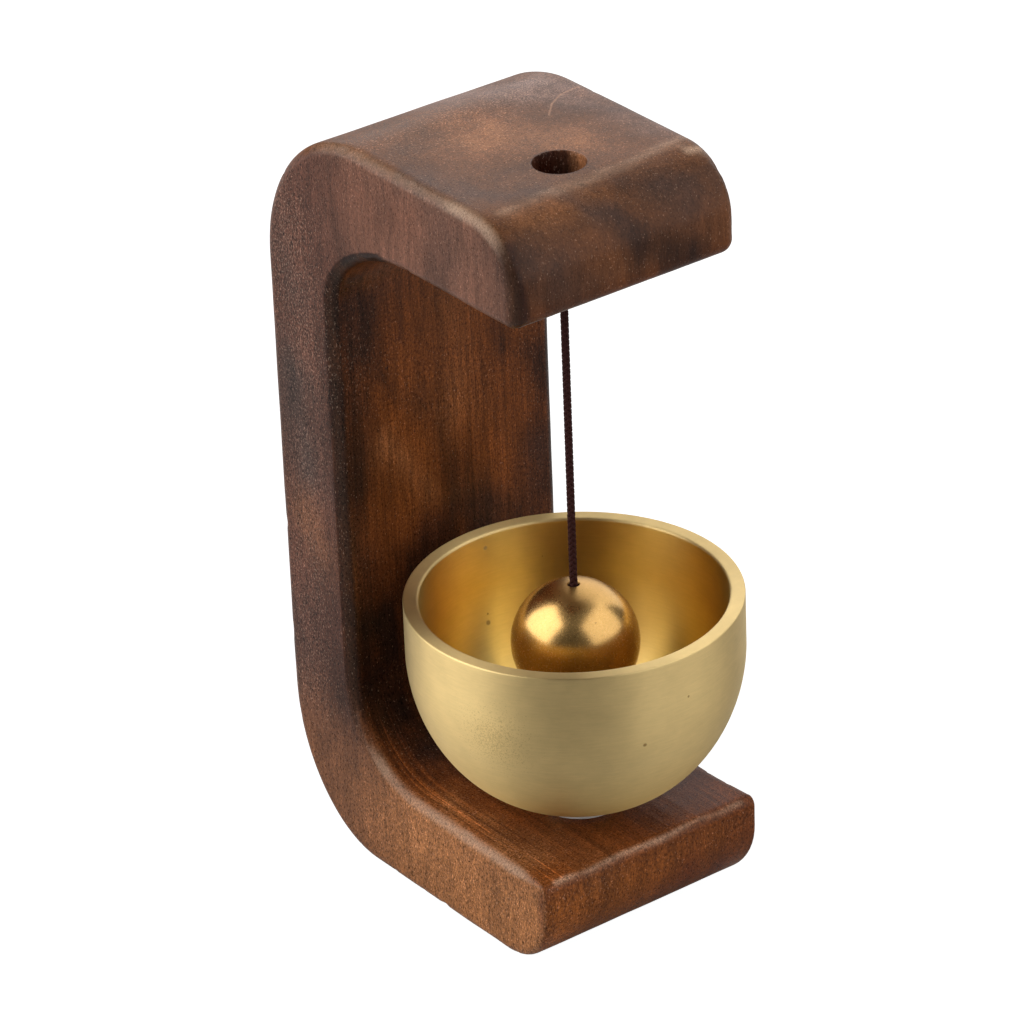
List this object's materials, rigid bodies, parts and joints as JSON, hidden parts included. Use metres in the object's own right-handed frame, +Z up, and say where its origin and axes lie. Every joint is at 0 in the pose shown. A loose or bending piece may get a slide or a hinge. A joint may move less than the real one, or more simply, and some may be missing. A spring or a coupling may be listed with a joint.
{
  "type": "door bell chime",
  "caption": "C-shaped walnut bracket with a turned brass bowl on its lower arm and a brass ball hung over it on a cord, which swings and knocks inside the bowl.",
  "frame": {"origin": "on the surface it stands on, at the middle of the whole footprint (bracket and bowl together)", "axes": "+Z up; -Y is the front, where the C is open; +Y is the flat back with the magnets; +X to the right seen from the front"},
  "size_m": [0.046, 0.065, 0.11],
  "materials": {
    "walnut": "oiled walnut, dull sheen, open pores",
    "satin_brass": "turned and finely brushed, clear satin",
    "aged_brass": "polished, slightly tarnished and scuffed",
    "cord": "tightly braided waxed cord, dark brown",
    "steel": "zinc plated",
    "nylon": "natural nylon, smooth",
    "magnet": "nickel plated, dull"
  },
  "bodies": {
    "bracket": {"walnut_bracket": "walnut", "upper_magnet": "magnet", "lower_magnet": "magnet", "bowl_spacer": "nylon", "brass_bowl": "satin_brass", "screw_washer": "steel", "bowl_screw": "steel"},
    "cord_top": {"top_knot": "cord", "cord_in_arm": "cord"},
    "hanging_cord": {"striker_cord": "cord", "ball_knot": "cord"},
    "ball": {"striker_ball": "aged_brass"}
  },
  "joints": [
    {"name": "knot_turn", "type": "hinge", "parent": "bracket", "child": "cord_top", "pos_m": [0, -0.0095, 0.103], "axis": [0, 0, 1], "continuous": true},
    {"name": "striker_swing", "type": "hinge", "parent": "cord_top", "child": "hanging_cord", "pos_m": [0, -0.0095, 0.0961], "axis": [1, 0, 0], "range_deg": [-11.8, 11.8]},
    {"name": "ball_spin", "type": "hinge", "parent": "hanging_cord", "child": "ball", "pos_m": [0, -0.0095, 0.0391], "axis": [0, 0, 1], "continuous": true}
  ]
}
